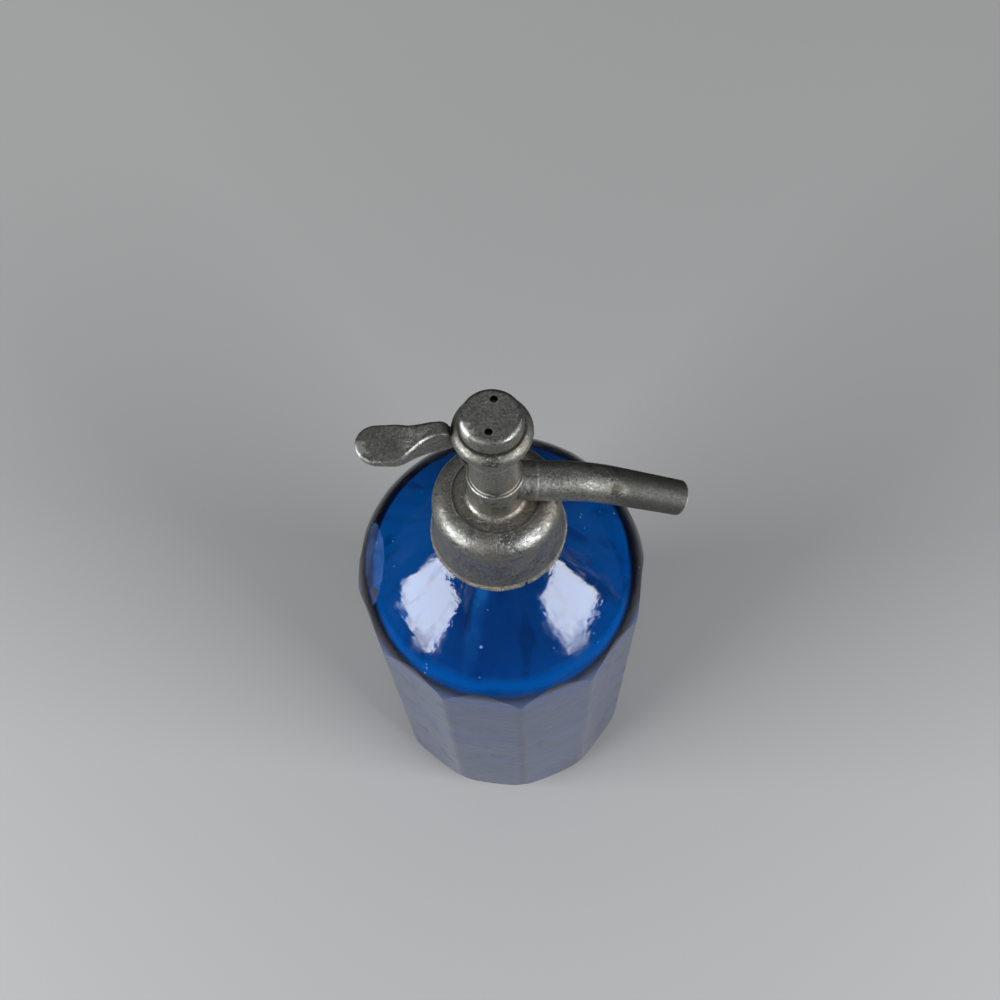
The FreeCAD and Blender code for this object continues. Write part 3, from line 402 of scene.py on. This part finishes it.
# --- blue glass --------------------------------------------------------------------------------


def tube_image(graph, here):
    """How much of the dip tube's painted image, as seen through the glass, shows on the front of
    the shoulder.
    """
    x, y, _ = graph.axes(here)
    middle = graph.plus(graph.times(graph.minus(y, TUBE_Y), TUBE_LEAN), TUBE_X)
    beside = graph.math("ABSOLUTE", graph.minus(x, middle))
    faint = graph.ramp(graph.noise(90, here), 0.35, 0.65, to=(0.08, 0.32))
    width = graph.fade(beside, 0.2 * TUBE_HALF_WIDTH, TUBE_HALF_WIDTH, start=faint)
    length = graph.times(graph.ramp(y, *TUBE_STARTS), graph.fade(y, *TUBE_ENDS))
    return graph.times(width, length)


def dome_colour(graph, here, drawn, cloud, dome, uneven, glow, tube):
    """The shoulder's cobalt: uneven in depth and streaked, with painted light that makes it
    lighter where it is seen at a slant, lighter at the back and bright in the band at its foot;
    darker below that band, with the dip tube's painted image, and painted dark where the wall is
    seen along its length."""
    _, y, height = graph.axes(here)
    facing = graph.add("ShaderNodeLayerWeight", {"Blend": 0.5}).outputs["Facing"]
    deep = graph.colour(cloud, *COBALT_DEEP)
    bright = graph.colour(cloud, *COBALT_BRIGHT)
    # painted light: the glass lighter where it is seen at a slant
    shown = graph.colour(graph.ramp(facing, 0.08, 0.32), deep, bright)
    # painted light: the glass lighter at the back
    shown = graph.colour(graph.ramp(y, *BACK_LIGHTENS, to=(0.0, 0.6)), shown, COBALT_BACK)
    streaks = graph.noise(5.0, drawn, detail=3.0, rough=0.6)
    streaks = graph.times(graph.ramp(streaks, 0.50, 0.68, to=(0.0, 0.5)), dome)
    shown = graph.colour(streaks, shown, COBALT_STREAK)
    # a painted band of light round the shoulder's foot
    shown = graph.colour(glow, shown, COBALT_GLOW)
    below = graph.fade(uneven, *FOOT_DARKENS, start=0.75)
    shown = graph.colour(below, shown, COBALT_FOOT)
    # the dip tube's painted image, as seen through the glass
    shown = graph.colour(tube, shown, COBALT_TUBE)
    # painted shade: the wall dark where it is seen along its length
    rim_start = graph.ramp(height, *RIM_HEIGHTS, to=RIM_VIEWS, smooth=False)
    rim = graph.ramp(facing, rim_start, graph.plus(rim_start, RIM_BLUR))
    return graph.colour(graph.times(rim, dome), shown, COBALT_RIM)


def panel_colour(graph, here, flat, cloud):
    """The dry grey film on the panels: thinner at their tops, washed off in patches, and worn
    off along their corners and at a drip."""
    x, y, height = graph.axes(here)
    film = graph.noise(1.0, graph.where((45, 45, 210)), detail=5.0, rough=0.7)
    shown = graph.colour(graph.ramp(film, 0.36, 0.64), *DUST_FILM)
    shown = graph.colour(graph.ramp(height, *DUST_THINS, to=(0.0, 0.75)), shown, DUST_TOP)
    washed = graph.noise(1.0, graph.where((22, 22, 30), shift=(3, 1, 0)), detail=2.0)
    washed = graph.ramp(washed, 0.48, 0.70, to=(0.0, 0.55))
    shown = graph.colour(washed, shown, DUST_WASHED)
    around = graph.plus(graph.math("ARCTAN2", y, x), 2 * math.pi - CORNER_TURN)
    radius = graph.vector("LENGTH", flat, out="Value")
    corner = graph.times(graph.math("PINGPONG", around, CORNER_STEP), radius)
    broken = graph.ramp(graph.noise(45, here), 0.38, 0.62, to=(0.35, 1.0))
    seam = graph.times(graph.fade(corner, 0.0002, 0.0024, start=0.45), broken)
    drip = graph.times(graph.ball(*DRIP, graph.times(cloud, 0.0004)), 0.6)
    return graph.colour(graph.most(seam, drip), shown, DUST_SEAM)


def blue_glass_material():
    """Cobalt glass: blue through its mass, with a dry grey film on the panels and the ripples,
    seeds, flake and chip of old hand-worked glass."""
    material, graph, shader, output = new_material("blue_glass")
    here = graph.where()
    height = graph.axes(here)[2]
    flat = graph.vector("MULTIPLY", here, (1, 1, 0))
    # the direction from the axis plus a share of the height: noise over it streaks the dome
    drawn = graph.vector("ADD", graph.vector("NORMALIZE", flat), graph.where((0, 0, 14)))
    dome = graph.ramp(height, *PANEL_FADE)
    cloud = graph.noise(40, here)
    uneven = graph.plus(height, graph.times(graph.minus(graph.noise(60, here), 0.5), 0.004))
    # where the painted band of light round the shoulder's foot lies
    glow = graph.times(graph.fade(uneven, *GLOW_ENDS), graph.ramp(uneven, *GLOW_RISES))
    tube = tube_image(graph, here)
    clear_dome = dome_colour(graph, here, drawn, cloud, dome, uneven, glow, tube)
    shown = graph.colour(dome, panel_colour(graph, here, flat, cloud), clear_dome)

    reach = graph.vector("DOT_PRODUCT", here, FLAKE_NORMAL, out="Value")
    ragged = graph.times(graph.minus(graph.noise(420, here), 0.5), 0.0012)
    split = graph.most(
        graph.minus(graph.plus(reach, graph.times(ragged, 0.4)), FLAKE_REACH), 0.0)
    flake = graph.times(graph.ramp(split, 0.0, 0.0002), graph.ramp(uneven, *FLAKE_FOOT))
    # the split face: a lighter blue with painted reflection of the pale room
    flake_face_and_reflection = graph.colour(graph.ramp(graph.noise(150, here), 0.4, 0.6), *FLAKE_FACE)
    shown = graph.colour(graph.times(flake, 0.6), shown, flake_face_and_reflection)
    chip = graph.ball(*CHIP, graph.times(ragged, 3.5))
    shown = graph.colour(graph.times(chip, 0.9), shown, CHIP_FACE)
    seeds = graph.fade(graph.cells(330), 0.10, 0.16)
    seeds = graph.times(seeds, graph.ramp(graph.noise(120, here), 0.58, 0.64))
    spots = graph.most(graph.times(seeds, dome), graph.ball(*BUBBLE))
    shown = graph.colour(graph.times(spots, 0.6), shown, SEED_FACE)

    solid = graph.most(
        graph.times(flake, 0.6), graph.times(glow, 0.35), tube, chip, spots)
    clear = graph.ramp(dome, 0.0, 1.0, to=(0.45, 0.70), smooth=False)
    softened = graph.add("ShaderNodeBevel", {"Radius": PANEL_EDGE_SOFTNESS}, samples=6)
    sunk = graph.math("MINIMUM", graph.minus(FLAKE_REACH, reach), 0.0)
    relief = graph.bump(
        sunk, deep=1.0, strength=graph.times(flake, 0.8), over=softened.outputs[0])
    wave = graph.noise(45, here, detail=2.0, rough=0.5)
    relief = graph.bump(wave, deep=0.0006, strength=0.5, over=relief)
    relief = graph.bump(graph.noise(300, here), deep=0.00010, over=relief)
    smear = graph.noise(4.0, drawn, detail=5.0, rough=0.68)
    smear = graph.ramp(smear, 0.46, 0.66, to=(0.0, 0.22))
    graph.set(shader, {
        "Base Color": shown,
        "Transmission Weight": graph.times(clear, graph.minus(1.0, solid)),
        "IOR": 1.52,
        "Roughness": graph.most(smear, graph.times(flake, 0.3)),
        "Normal": relief,
    })
    mass = {"Color": COBALT_MASS, "Density": COBALT_MASS_DENSITY}
    mass = graph.add("ShaderNodeVolumeAbsorption", mass)
    graph.feed(output.inputs["Volume"], mass.outputs[0])
    return material


# --- the other materials -----------------------------------------------------------------------


def clear_glass_material():
    """Drawn glass, a little uneven along its length."""
    material, graph, shader, _ = new_material("clear_glass")
    drawn = graph.noise(90, graph.where((1, 1, 0.2)))
    graph.set(shader, {
        "Base Color": TUBE_GLASS,
        "Transmission Weight": 1.0,
        "IOR": 1.5,
        "Roughness": graph.ramp(graph.noise(200), 0.4, 0.7, to=(0.02, 0.12)),
        "Normal": graph.bump(drawn, deep=0.0002, strength=0.4),
    })
    return material


def leather_material():
    """Dried leather seen on its cut edge: tan and grey-brown with fine upright fibres, and
    painted shade in the hollows between them.
    """
    material, graph, shader, _ = new_material("leather")
    fibre = graph.noise(1.0, graph.where((3000, 3000, 350)), rough=0.6)
    shown = graph.colour(graph.ramp(fibre, 0.36, 0.64), *LEATHER_TAN)
    shown = graph.colour(graph.ramp(graph.noise(330), 0.42, 0.6), shown, LEATHER_GREY)
    # painted shade in the hollows between the fibres
    hollow = graph.fade(graph.open_space(0.0006), 0.3, 0.9, start=0.85)
    graph.set(shader, {
        "Base Color": graph.colour(hollow, shown, LEATHER_HOLLOW_SHADE),
        "Roughness": graph.ramp(fibre, 0.3, 0.7, to=(0.6, 0.85)),
        "Normal": graph.bump(fibre, deep=0.0003, strength=0.9),
    })
    return material


def brass_material():
    """Turned brass gone dull, with fine tool rings."""
    material, graph, shader, _ = new_material("brass")
    tone = graph.noise(180, detail=4.0, rough=0.6)
    rings = graph.noise(1.0, graph.where((20, 20, 9000)), detail=1.0)
    graph.set(shader, {
        "Base Color": graph.colour(tone, *BRASS),
        "Metallic": 1.0,
        "Roughness": graph.ramp(tone, 0.3, 0.7, to=(0.25, 0.45)),
        "Normal": graph.bump(rings, deep=0.00002, strength=0.6),
    })
    return material


def plain_material(name, scale, colours, rough, deep, metallic=0.0):
    """One fine noise sets colour, roughness and relief alike."""
    material, graph, shader, _ = new_material(name)
    tone = graph.noise(scale)
    graph.set(shader, {
        "Base Color": graph.colour(tone, *colours),
        "Metallic": metallic,
        "Roughness": graph.ramp(tone, 0.3, 0.7, to=rough),
        "Normal": graph.bump(tone, deep=deep, strength=0.5),
    })
    return material


def steel_material(name, colours, rough):
    """Drawn steel."""
    return plain_material(name, 900, colours, rough, deep=0.00002, metallic=1.0)


def floor_material():
    """Pale matt paper with a faint tooth. What is polished mirrors it only close to the siphon,
    and a dark room beyond."""
    material, graph, shader, _ = new_material("floor_paper")
    here = graph.where()
    away = graph.vector("LENGTH", here, out="Value")
    near = graph.colour(graph.noise(1.4, here, detail=2.0), *PAPER_NEAR)
    # painted light: the paper paler behind the siphon
    paler = graph.ramp(graph.axes(here)[1], *FLOOR_PALER)
    shown = graph.colour(paler, near, PAPER_FAR)
    shown = graph.colour(graph.times(graph.noise(900, here), 0.05), shown, PAPER_TOOTH)
    mirrored = graph.add("ShaderNodeLightPath").outputs["Is Glossy Ray"]
    beyond = graph.times(mirrored, graph.ramp(away, *MIRRORED_FLOOR))
    graph.set(shader, {
        "Base Color": graph.colour(beyond, shown, DARK_ROOM),
        "Emission Color": BACKDROP_FOOT,
        "Emission Strength": graph.times(
            graph.sees_backdrop(), graph.ramp(away, *BACKDROP_RING)),
        "Roughness": 0.9,
        "Specular IOR Level": 0.2,
    })
    return material


def dress(materials):
    """Gives every CAD node its own material, or that of the slot it has in the record."""
    for part in frame["record"]["subparts"]:
        name, slot = part["node"], part["material_slot"]
        piece = nodes[name]
        piece.data.materials.clear()
        piece.data.materials.append(materials.get(name) or materials[slot])


# --- pieces that stand in for a CAD node -------------------------------------------------------


def link_object(name, data):
    made = bpy.data.objects.new(name, data)
    bpy.context.scene.collection.objects.link(made)
    return made


def build_neck_ring(leather):
    """A ring cut from thick leather: its rim is split into fine upright fibres, and its two ends
    butt at a dark cut. It stays within the plain ring of the frame."""
    plain = nodes["neck_packing"]
    points = np.array([vertex.co for vertex in plain.data.vertices])
    radii = np.hypot(points[:, 0], points[:, 1])
    outer, inner = radii.max(), radii.min()
    top, foot = points[:, 2].max(), points[:, 2].min()
    inner_foot = points[radii < inner + 1e-5, 2].min()
    draw = np.random.default_rng(RING_SEED)
    steps = np.arange(RING_STEPS)
    turn = steps * 2 * math.pi / RING_STEPS

    def fibres(width):
        """Random depths round the rim, smoothed over some steps and scaled to nought to one."""
        rough = draw.random(RING_STEPS)
        reach = np.exp(-0.5 * (np.minimum(steps, RING_STEPS - steps) / width) ** 2)
        smooth = np.real(np.fft.ifft(np.fft.fft(rough) * np.fft.fft(reach)))
        return (smooth - smooth.min()) / (smooth.max() - smooth.min())

    def circle(radius, height):
        across = radius * np.cos(turn), radius * np.sin(turn)
        return np.stack([*across, np.full(RING_STEPS, height)], 1)

    from_cut = np.angle(np.exp(1j * (turn - RING_CUT_ANGLE))) * outer
    even = RING_CUT_DEPTH * np.exp(-((from_cut / RING_CUT_WIDTH) ** 2))
    even = even + RING_WAVE_DEPTH * fibres(RING_WAVE_WIDTH)
    grooves = [0.6 * fibres(RING_FINE_FIBRE) + 0.4 * fibres(RING_COARSE_FIBRE) for _ in range(3)]
    circles = []
    for level in range(RING_LEVELS):
        share = level / (RING_LEVELS - 1)
        groove = sum(max(0.0, 1.0 - abs(2 * share - index)) * depths
                     for index, depths in enumerate(grooves))
        rounding = RING_ROUND_DEPTH * abs(2 * share - 1.0) ** 4
        depth = RING_FIBRE_DEPTH * groove + even + rounding
        circles.append(circle(outer - depth, foot + (top - foot) * share))
    circles += [circle(inner, top), circle(inner, inner_foot)]
    faces = []
    for level in range(len(circles)):
        low, high = level * RING_STEPS, (level + 1) % len(circles) * RING_STEPS
        for step in range(RING_STEPS):
            after = (step + 1) % RING_STEPS
            faces.append((low + step, low + after, high + after, high + step))
    mesh = bpy.data.meshes.new("neck_ring")
    mesh.from_pydata(np.concatenate(circles).tolist(), [], faces)
    mesh.shade_smooth()
    mesh.materials.append(leather)
    ring = link_object("neck_ring", mesh)
    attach(ring, "siphon")
    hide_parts("neck_packing")


def build_return_spring(steel):
    """The coil, as the frame has it, with its own copy of the mesh in steel."""
    plain = nodes["spring"]
    coil = link_object("return_spring", plain.data.copy())
    coil.matrix_world = plain.matrix_world.copy()
    coil.data.materials.clear()
    coil.data.materials.append(steel)
    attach(coil, "siphon")
    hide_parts("spring")
    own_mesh(coil)


# --- stage -------------------------------------------------------------------------------------


def build_floor():
    side = FLOOR_HALF_SIDE
    corners = [(-side, -side, 0), (side, -side, 0), (side, side, 0), (-side, side, 0)]
    mesh = bpy.data.meshes.new("floor")
    mesh.from_pydata(corners, [], [(0, 1, 2, 3)])
    mesh.materials.append(floor_material())
    floor = link_object("floor", mesh)
    floor.location.z = -FLOOR_DROP


def add_lamp(name, azimuth, elevation, distance, width, height, radiance):
    """A rectangular lamp that faces the siphon's shoulder."""
    lamp = bpy.data.lights.new(name, "AREA")
    lamp.shape = "RECTANGLE"
    lamp.size, lamp.size_y = width, height
    lamp.energy = radiance * math.pi * width * height
    lamp.color = LAMP_COLOUR
    holder = link_object(name, lamp)
    a, e = math.radians(azimuth), math.radians(elevation)
    out = Vector((math.cos(e) * math.cos(a), math.cos(e) * math.sin(a), math.sin(e)))
    holder.location = LAMP_TARGET + out * distance
    holder.rotation_euler = out.to_track_quat("Z", "Y").to_euler()


def build_world():
    """A dim room, which the camera sees as a pale backdrop, also through glass."""
    world = bpy.data.worlds.new("studio")
    bpy.context.scene.world = world
    world.use_nodes = True
    world.node_tree.nodes.clear()
    graph = Graph(world.node_tree)
    room = {"Color": rgba(1, 1, 1), "Strength": ROOM_STRENGTH}
    room = graph.add("ShaderNodeBackground", room).outputs[0]
    backdrop = graph.add("ShaderNodeBackground", {"Color": BACKDROP, "Strength": 1.0}).outputs[0]
    chosen = graph.add("ShaderNodeMixShader", {0: graph.sees_backdrop(), 1: room, 2: backdrop})
    graph.add("ShaderNodeOutputWorld", {"Surface": chosen.outputs[0]})


def place_camera():
    """The photographer's view: from above and in front, with a slight roll."""
    forward = np.array((0, math.cos(CAMERA_PITCH), -math.sin(CAMERA_PITCH)))
    right = np.array((1.0, 0, 0))
    level = np.array((right, np.cross(forward, right), forward))
    c, s = math.cos(CAMERA_ROLL), math.sin(CAMERA_ROLL)
    view = np.array(((c, -s, 0), (s, c, 0), (0, 0, 1))) @ level
    position = -view.T @ np.array(CAMERA_OFFSET)
    turned = Matrix((view[0], -view[1], -view[2])).transposed()
    data = bpy.data.cameras.new("camera")
    data.sensor_width = SENSOR_WIDTH_MM
    data.lens = FOCAL_PX / FRAME_PX * SENSOR_WIDTH_MM
    data.clip_start = 0.01
    camera = link_object("camera", data)
    camera.matrix_world = Matrix.Translation(Vector(position)) @ turned.to_4x4()
    bpy.context.scene.camera = camera


# --- assembly ----------------------------------------------------------------------------------

pewters = {name: pewter_material(f"pewter_{name}", seed, **wear)
           for seed, (name, wear) in enumerate(PEWTER_WEAR_AND_HIGHLIGHTS.items(), start=1)}
leather = leather_material()
steel = steel_material("steel", STEEL, rough=(0.2, 0.4))
dress({
    **pewters,
    "pewter": pewters["head_body"],
    "blue_glass": blue_glass_material(),
    "clear_glass": clear_glass_material(),
    "leather": leather,
    "brass": brass_material(),
    "rubber": plain_material("rubber", 500, RUBBER, rough=(0.6, 0.8), deep=0.0001),
    "steel": steel,
    "lever_pin": steel_material("steel_pin", STEEL_TARNISHED, rough=(0.47, 0.67)),
})
build_neck_ring(leather)
build_return_spring(steel)
build_floor()
for lamp in LAMPS:
    add_lamp(*lamp)
build_world()
place_camera()
bpy.context.scene.view_settings.view_transform = "Standard"
